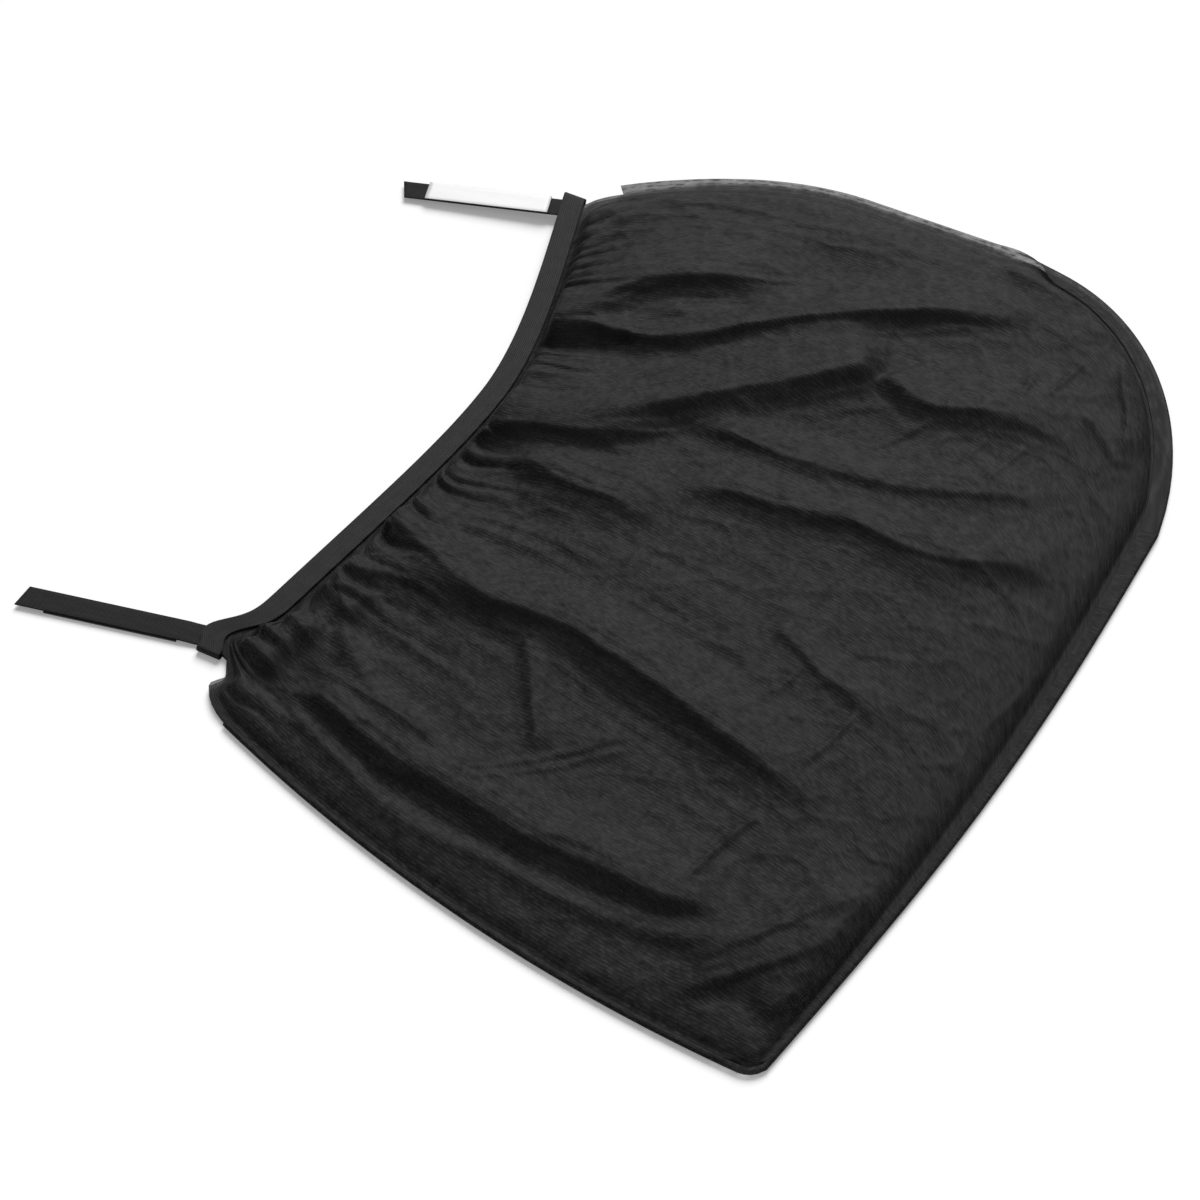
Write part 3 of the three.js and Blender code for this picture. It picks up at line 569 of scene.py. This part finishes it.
def front_surface():
    """A grid between the mouth and the seam. Its height rises from the seam to a loose puff
    that carries the folds, which never fall below the valley floor."""
    rows, columns = 250, 360
    seam_v = 1 - far_strip(0.5) / depth_left
    v = np.concatenate([row_places(rows - 3), [1]]) * seam_v
    _, _, depth_l, depth_r = plan(0, v)
    width = side_edge(depth_l, left_side) + side_edge(depth_r, right_side)
    slant_l = np.maximum(0.2, sideways(depth_l, left_side))
    least = mix(1, 0.2, ramp(0, 9, depth_r - elastic_width))
    slant_r = np.maximum(least, sideways(depth_r, right_side))
    inset = mix(seam_flat, left_strip(depth_l), ramp(least_turn, 1, left_turn(depth_l)))
    seam_l, seam_r = inset / slant_l, narrow_strip / slant_r + 9 * ramp(0.9, 1, v)
    spread = np.clip((np.arange(columns) - 1) / (columns - 3), 0, 1)[None, :]
    under = np.minimum(3, inset - seam_gap) / slant_l
    across = mix(seam_l[:, None], (width - seam_r)[:, None], spread)
    across[:, 0] -= under
    across[:, -1] += (narrow_strip - seam_gap) / slant_r
    u = across / width[:, None]
    strip = far_strip(u)
    under_far = np.zeros((rows, 1))
    under_far[-1] = 1
    lap = np.minimum(3, strip - seam_gap) * under_far
    share = (1 - (strip - lap) / depth_left) / seam_v
    v = v[:, None] * mix(1, share, ramp(0.6, 1, v[:, None] / seam_v))
    x, y, depth_l, depth_r = plan(u, v)
    inset = mix(seam_flat, left_strip(depth_l), ramp(least_turn, 1, left_turn(depth_l)))
    from_left = (x + side_edge(depth_l, left_side)) * sideways(depth_l, left_side) - inset
    from_right = (side_edge(depth_r, right_side) - x) * sideways(depth_r, right_side) - narrow_strip
    from_far = (1 - v) * depth_left - far_strip(u)
    sides = [from_left - side_seam_flat, from_right - side_seam_flat, from_far - far_seam_flat]
    inside = sum(np.maximum(0.01, side) ** -3 for side in sides) ** (-1 / 3)
    rise = 1 - np.exp(-inside / edge_reach)

    curled = ramp(least_turn, 1, left_turn(depth_l))
    floor = back_rise(x, y)
    seam = mix(mix(floor + 1.1, floor + 3.3, curled), floor + 3.3, ramp(0, 0.3, u))
    past = y - mouth_line(x) - elastic_width
    near_side = ramp(92, 34, from_right)
    body = puff - near_side_drop * near_side + fold_heights(x, y) + gather_heights(past, u)
    body += small_wrinkles(x, y, u, past) * ramp(0, 30, past)
    low = valley_floor - near_side_valley * near_side
    body = low + valley_softness * np.logaddexp(0, (body - low) / valley_softness)
    body = crest_ceiling - crest_softness * np.logaddexp(0, (crest_ceiling - body) / crest_softness)
    lap_height = upper_run_height(x) - elastic_thickness / 2 - 0.7
    blend = mix(9, 12, ramp(0, 0.12, u) * ramp(0, 0.12, 1 - u))
    z = mix(lap_height, seam + (body - seam) * rise, ramp(0.6, blend, past))
    points = np.stack([x, y, z + corner_lift(x, y)], axis=-1).reshape(-1, 3)
    uv = np.stack([u * cloth_across + 3, v * cloth_along], axis=-1).reshape(-1, 2)
    return points, grid_faces(rows, columns), uv


front_panel = new_piece("front_panel_cloth", *front_surface())
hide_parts("front_panel")
front_panel.data.materials.append(knitted_mesh)


# Mouth elastic. One loop of 20 mm ribbed elastic tape, its ends sewn together, laid flat with
# one run over the other. It is sewn on stretched, so its inner edge puckers a little.
def elastic_surface():
    """A belt: its path, seen from the mouth, is two long runs joined by half circles, and its
    section is a flat tape with rounded edges, laid along Y from the mouth's line."""
    runs, ends = 300, 10
    base, top = elastic_thickness / 2, upper_run_height(end_x)
    run = np.linspace(-end_x, end_x, runs)
    angle = np.pi * np.arange(1, ends) / ends
    bulge, rise = elastic_radius * np.sin(angle), mix(base, top, (1 - np.cos(angle)) / 2)
    x = np.concatenate([run, end_x + bulge, run[::-1], -end_x - bulge])
    z = np.concatenate([np.full(runs, base), rise, upper_run_height(run[::-1]), rise[::-1]])
    step_x, step_z = np.roll(x, -1) - np.roll(x, 1), np.roll(z, -1) - np.roll(z, 1)
    length = np.hypot(step_x, step_z)
    out_x, out_z = step_z / length, -step_x / length
    edge = np.radians([-90, -50, -15, 15, 50, 90])
    round_in = 0.45
    across = np.concatenate([
        elastic_width - round_in + round_in * np.cos(edge),
        np.linspace(elastic_width - 1.2, 1.2, 9),
        round_in - round_in * np.cos(edge),
        np.linspace(1.2, elastic_width - 1.2, 9),
    ])
    side = np.concatenate([np.sin(edge), np.ones(9), -np.sin(edge), -np.ones(9)])
    rows, columns = len(x), len(across)
    around = np.cumsum(np.hypot(np.diff(x, append=x[0]), np.diff(z, append=z[0])))
    stretch = np.clip(across / elastic_width, 0, 1) ** 2
    pucker = 0.22 * np.sin(around / 3.1 + 0.8 * np.sin(around / 17))[:, None] * stretch
    pucker = pucker * (np.abs(out_z) > 0.99)[:, None]
    offset = side * elastic_thickness / 2
    px = x[:, None] + out_x[:, None] * offset
    py = mouth_line(np.clip(x, -end_x, end_x - 5))[:, None] + across[None, :]
    pz = z[:, None] + out_z[:, None] * offset + corner_lift(px, py) + np.maximum(pucker, -0.2) + 0.02
    points = np.stack([px, py, pz], axis=-1).reshape(-1, 3)
    uv = np.stack([np.broadcast_to(across, (rows, columns)),
                   np.broadcast_to(around[:, None], (rows, columns))], axis=-1).reshape(-1, 2)
    first = np.arange(rows)[:, None] * columns + np.arange(columns)
    after_row, after_column = np.roll(first, -1, axis=0), np.roll(first, -1, axis=1)
    both = np.roll(after_row, -1, axis=1)
    faces = np.stack([first, after_column, both, after_row], axis=-1).reshape(-1, 4)
    return points, faces, uv


mouth_elastic = new_piece("mouth_elastic_tape", *elastic_surface())
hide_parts("mouth_elastic")


def tape_group():
    """Woven tape: fine cords along its length with cross threads between them, from two sines.
    Puts out its height and a slow mottle."""
    inputs = [("Place", "NodeSocketVector", None), ("Cords", "NodeSocketFloat", 0.0012),
              ("Cross", "NodeSocketFloat", 0.0006)]
    tree, given, made = group_of(
        "tape", inputs, [("Height", "NodeSocketFloat"), ("Mottle", "NodeSocketFloat")]
    )
    split = tree.nodes.new("ShaderNodeSeparateXYZ")
    tree.links.new(given.outputs["Place"], split.inputs[0])
    cords = math_node(tree, "DIVIDE", split.outputs["X"], given.outputs["Cords"])
    cross = math_node(tree, "DIVIDE", split.outputs["Y"], given.outputs["Cross"])
    half_turns = math_node(tree, "MULTIPLY", cords, np.pi)
    wave = math_node(tree, "ABSOLUTE", math_node(tree, "SINE", half_turns))
    half = math_node(tree, "MULTIPLY_ADD", math_node(tree, "FLOOR", cords), 0.5, cross)
    weft = math_node(tree, "SINE", math_node(tree, "MULTIPLY", half, 2 * np.pi))
    height = math_node(tree, "MULTIPLY_ADD", weft, 0.25, wave)
    tree.links.new(height, made.inputs["Height"])
    mottle = noise_node(tree, given.outputs["Place"], 240, 3, (1, 0.15, 1))
    tree.links.new(mottle, made.inputs["Mottle"])
    return tree


tape_weave = tape_group()


def tape_material(name, dark, light, cords, cross, depth, **constants):
    """A woven tape: between its dark and light colours by the weave, lighter on its raised cords as
    painted sheen and darker in its grooves as painted shade, times a slow mottle of its own,
    with cords that stand out.
    """
    material, tree, shader = new_material(name, **constants)
    weave = tree.nodes.new("ShaderNodeGroup")
    weave.node_tree = tape_weave
    tree.links.new(cloth_place(tree), weave.inputs["Place"])
    weave.inputs["Cords"].default_value = cords
    weave.inputs["Cross"].default_value = cross
    # Painted sheen and shade: the weave's height, times the tape's own mottle, sets the colour.
    share = math_node(tree, "MULTIPLY", weave.outputs["Height"], weave.outputs["Mottle"])
    tree.links.new(colour_between(tree, share, dark, light), shader.inputs["Base Color"])
    bump_of(tree, shader, weave.outputs["Height"], depth, 0.7)
    return material


# The light colour of each tape is painted sheen on its raised cords.
elastic_ribbed = tape_material(
    "ribbed_elastic", (0.012, 0.012, 0.0125), (0.04, 0.04, 0.042), 0.0016, 0.0009, 0.0003,
    Roughness=0.55, Specular_IOR_Level=0.15,
)
mouth_elastic.data.materials.append(elastic_ribbed)


# Straps. Two lengths of 20 mm black webbing, sewn in at the ends of the mouth and cut off on
# a slant. The right one lies on its patch, the left one carries its patch on top.
strap_width, strap_thickness, strap_length, strap_inside = 20, 1.2, 147, 12
patch_width, patch_thickness, liner_thickness = 21, 1.2, 0.3
patch_end = strap_length - 21
patch_start = patch_end - 108


def right_height(distance):
    """The right strap leaves the elastic's lower run and climbs onto its patch."""
    return mix(1.3, liner_thickness + patch_thickness + 0.6, ramp(2, patch_start - 2, distance))


def left_height(distance):
    """The left strap comes down evenly from the raised end of the mouth."""
    return mix(6.3, 2.4, np.clip(distance / (strap_length - 8), 0, 1))


def ribbon(place, lean, start, end, width, thickness, slant, underside, steps):
    """A flat tape along a strap's line: a closed section with rounded edges, carried from one
    distance past the mouth to another, its end cut on a slant and both ends closed."""
    angle = np.radians(lean)
    edge = np.radians([-90, -45, 0, 45, 90])
    radius = thickness / 2
    flat = np.linspace(1, -1, 7)[1:-1] * (width / 2 - radius)
    across = np.concatenate([width / 2 - radius + radius * np.cos(edge), flat,
                             -width / 2 + radius - radius * np.cos(edge[::-1])[::-1], -flat])
    round_up = radius * np.sin(edge)
    up = np.concatenate([round_up, np.full(5, radius), -round_up, np.full(5, -radius)])
    share = np.linspace(0, 1, steps)
    distance = mix(start, end, share)[:, None] + slant * (across / width)[None, :] * (share**8)[:, None]
    root = np.array([place, mouth_line(np.array(place, dtype=float))])
    x = root[0] + distance * np.sin(angle) + across * np.cos(angle)
    y = root[1] - distance * np.cos(angle) + across * np.sin(angle)
    z = underside(distance) + radius + up
    rows, columns = distance.shape
    points = np.stack([x, y, z], axis=-1).reshape(-1, 3)
    uv = np.stack([np.broadcast_to(across, x.shape), distance], axis=-1).reshape(-1, 2)
    first = np.arange(rows - 1)[:, None] * columns + np.arange(columns)
    following = np.roll(first, -1, axis=1)
    faces = np.stack([first, first + columns, following + columns, following], axis=-1).reshape(-1, 4)
    return points, faces, uv


def capped(piece):
    """Closes the two open ends of a tube and turns its faces outwards."""
    build = bmesh.new()
    build.from_mesh(piece.data)
    bmesh.ops.holes_fill(build, edges=[edge for edge in build.edges if edge.is_boundary], sides=0)
    bmesh.ops.recalc_face_normals(build, faces=build.faces)
    build.to_mesh(piece.data)
    build.free()
    return piece


webbing = tape_material(
    "woven_webbing", (0.012, 0.012, 0.013), (0.045, 0.045, 0.047), 0.0011, 0.0016, 0.00035,
    Roughness=0.68, Specular_IOR_Level=0.12,
)
hook_tape = tape_material(
    "hook_tape", (0.008, 0.008, 0.009), (0.04, 0.04, 0.042), 0.0015, 0.0015, 0.0006,
    Roughness=0.45, Specular_IOR_Level=0.4,
)


def liner_material():
    """Coated paper: nearly white, with faint long creases and a soft gloss; painted shade darkens the
    creases' low places.
    """
    material, tree, shader = new_material("peel_off_backing", Roughness=0.38, Specular_IOR_Level=0.5)
    creases = noise_node(tree, cloth_place(tree), 90, 3, (1, 0.2, 1))
    # Painted shade: the colour is darker where the creases' bump is low.
    colour = colour_between(tree, creases, (0.76, 0.765, 0.77), (0.9, 0.9, 0.89))
    tree.links.new(colour, shader.inputs["Base Color"])
    bump_of(tree, shader, creases, 0.0006, 0.4)
    return material


backing = liner_material()
straps = {
    "right": dict(place=272, lean=12, slant=5, height=right_height, short=0),
    "left": dict(place=-270, lean=16, slant=-5, height=left_height, short=8),
}
for side, strap in straps.items():
    line = (strap["place"], strap["lean"])
    height = strap["height"]
    if side == "right":
        patch_height = lambda distance: np.full_like(distance, liner_thickness + 0.3)
        liner_height = lambda distance: np.zeros_like(distance)
    else:
        patch_height = lambda distance: left_height(distance) + strap_thickness + 0.3
        liner_height = lambda distance: left_height(distance) + strap_thickness + patch_thickness + 0.6
    tip, start, end = (length - strap["short"] for length in (strap_length, patch_start, patch_end))
    tape = ribbon(*line, -strap_inside, tip, strap_width, strap_thickness, strap["slant"], height, 60)
    patch = ribbon(*line, start, end, patch_width, patch_thickness, 0, patch_height, 30)
    liner = ribbon(*line, start, end, patch_width, liner_thickness, 0, liner_height, 30)
    for name, surface, node, slot, material in (
        (f"strap_{side}_webbing", tape, f"strap_{side}", "webbing", webbing),
        (f"hook_patch_{side}_tape", patch, f"hook_patch_{side}", "hook", hook_tape),
        (f"patch_liner_{side}_film", liner, f"patch_liner_{side}", "liner", backing),
    ):
        piece = capped(new_piece(name, *surface))
        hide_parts(node)
        piece.data.materials.append(material)


# Table and light. A white table that shows as the photograph's white ground and keeps the
# soft shadows, one large lamp from beyond the bag's far left, and an even white sky that is
# brighter to the camera than to the bag.
sun_energy, sun_angle, sun_from = 3.35, 40, (-1.6, -0.35, 1.45)
sky_on_bag, table_glow = 0.185, 0.22
bpy.ops.mesh.primitive_plane_add(size=30, location=(0, 0, -0.0006))
table = bpy.context.object
table.name = "table"
material, tree, shader = new_material("white_table", Roughness=0.9, Specular_IOR_Level=0.0)
shader.inputs["Base Color"].default_value = (0.9, 0.9, 0.9, 1)
light_path = tree.nodes.new("ShaderNodeLightPath")
uncovered = math_node(tree, "LESS_THAN", light_path.outputs["Transparent Depth"], 0.5)
seen_directly = math_node(tree, "MULTIPLY", light_path.outputs["Is Camera Ray"], uncovered)
glow = math_node(tree, "MULTIPLY", seen_directly, table_glow)
shader.inputs["Emission Color"].default_value = (1, 1, 1, 1)
tree.links.new(glow, shader.inputs["Emission Strength"])
table.data.materials.append(material)

key_data = bpy.data.lights.new("key", "SUN")
key_data.energy = sun_energy
key_data.angle = np.radians(sun_angle)
key = bpy.data.objects.new("key", key_data)
key.location = sun_from
key.rotation_euler = Vector(key.location).to_track_quat("Z", "Y").to_euler()
bpy.context.collection.objects.link(key)

world = bpy.data.worlds.new("sky")
bpy.context.scene.world = world
world.use_nodes = True
tree = world.node_tree
background = tree.nodes["Background"]
light_path = tree.nodes.new("ShaderNodeLightPath")
camera_ray = light_path.outputs["Is Camera Ray"]
sky = math_node(tree, "MULTIPLY_ADD", camera_ray, 1 - sky_on_bag, sky_on_bag)
tree.links.new(sky, background.inputs["Strength"])
background.inputs["Color"].default_value = (1, 1, 1, 1)
bpy.context.scene.view_settings.view_transform = "Standard"
